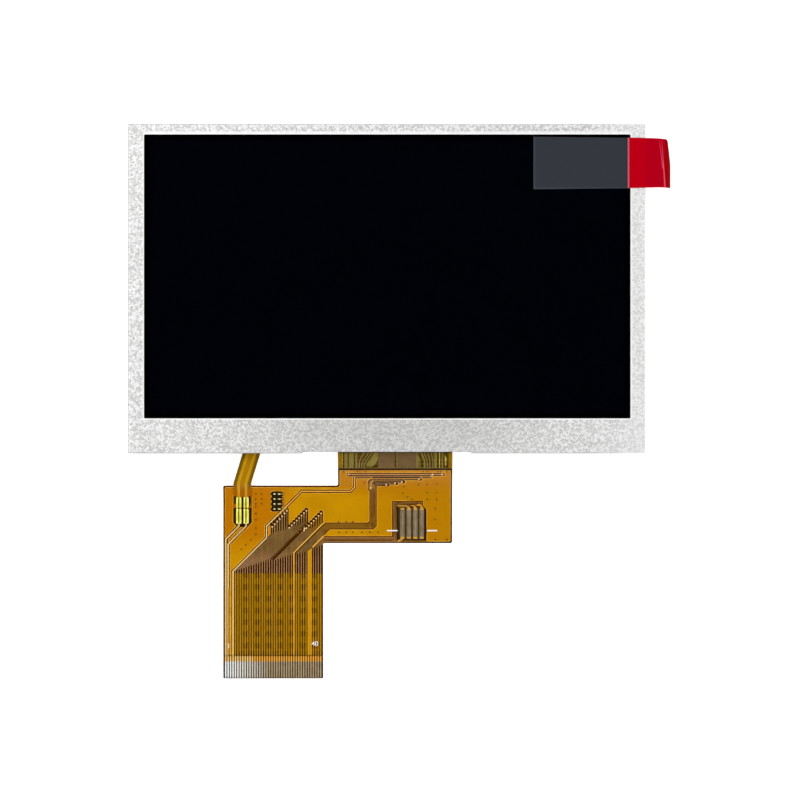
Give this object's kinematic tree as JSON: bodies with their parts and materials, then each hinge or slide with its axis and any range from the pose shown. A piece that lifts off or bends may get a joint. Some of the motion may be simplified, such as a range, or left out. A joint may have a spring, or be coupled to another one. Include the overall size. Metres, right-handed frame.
{
  "type": "tft display module",
  "caption": "Flat liquid crystal display module in a folded steel bezel, with a flex circuit tail and a peel-off film tab.",
  "frame": {"origin": "centre of the module's outline on its rear face, without the flex circuit", "axes": "+Z out of the screen, +X to the right of the picture, +Y to the top of the picture"},
  "size_m": [0.1108, 0.1135, 0.003],
  "materials": {
    "front_bezel": "galvanised, spangled",
    "rear_chassis": "galvanised, spangled",
    "backlight_frame": "moulded white",
    "reflector_sheet": "silvered film",
    "light_guide": "polished clear acrylic",
    "diffuser_sheet": "frosted film",
    "prism_sheet_lower": "grooved film",
    "prism_sheet_upper": "grooved film",
    "rim_tape": "black tape",
    "backlight_leds": "moulded white with phosphor",
    "led_flex": "polyimide film",
    "led_flex_tracks": "copper under film",
    "rear_polariser": "polariser film",
    "tft_glass": "thin ground-edge glass",
    "colour_filter_glass": "thin ground-edge glass",
    "front_polariser": "black when off",
    "protective_film": "clear peel-off film",
    "driver_chip": "bare silicon",
    "ledge_sealant": "silicone bead",
    "flex_bond": "conductive film",
    "flex_film": "polyimide film",
    "flex_bond_leads": "copper under film",
    "flex_ground_copper": "copper under amber film",
    "flex_signal_tracks": "copper under amber film",
    "flex_cover_film": "amber cover film",
    "flex_rear_ground": "copper under amber film",
    "flex_stiffener": "polyimide board",
    "contact_fingers": "gold-plated",
    "touch_panel_pads": "gold-plated",
    "test_pads": "gold-plated",
    "solder_pads": "tinned",
    "pull_tab_tape": "clear tape",
    "pull_tab_grip": "red film"
  },
  "bodies": {
    "root": {"front_bezel": "front_bezel", "rear_chassis": "rear_chassis", "backlight_frame": "backlight_frame", "reflector_sheet": "reflector_sheet", "light_guide": "light_guide", "diffuser_sheet": "diffuser_sheet", "prism_sheet_lower": "prism_sheet_lower", "prism_sheet_upper": "prism_sheet_upper", "rim_tape": "rim_tape", "backlight_leds": "backlight_leds", "led_flex": "led_flex", "led_flex_tracks": "led_flex_tracks", "rear_polariser": "rear_polariser", "tft_glass": "tft_glass", "colour_filter_glass": "colour_filter_glass", "front_polariser": "front_polariser", "protective_film": "protective_film", "driver_chip": "driver_chip", "ledge_sealant": "ledge_sealant", "flex_bond": "flex_bond", "flex_film": "flex_film", "flex_bond_leads": "flex_bond_leads", "flex_ground_copper": "flex_ground_copper", "flex_signal_tracks": "flex_signal_tracks", "flex_cover_film": "flex_cover_film", "flex_rear_ground": "flex_rear_ground", "flex_stiffener": "flex_stiffener", "contact_fingers": "contact_fingers", "touch_panel_pads": "touch_panel_pads", "test_pads": "test_pads", "solder_pads": "solder_pads", "pull_tab_tape": "pull_tab_tape", "pull_tab_grip": "pull_tab_grip"}
  },
  "joints": []
}
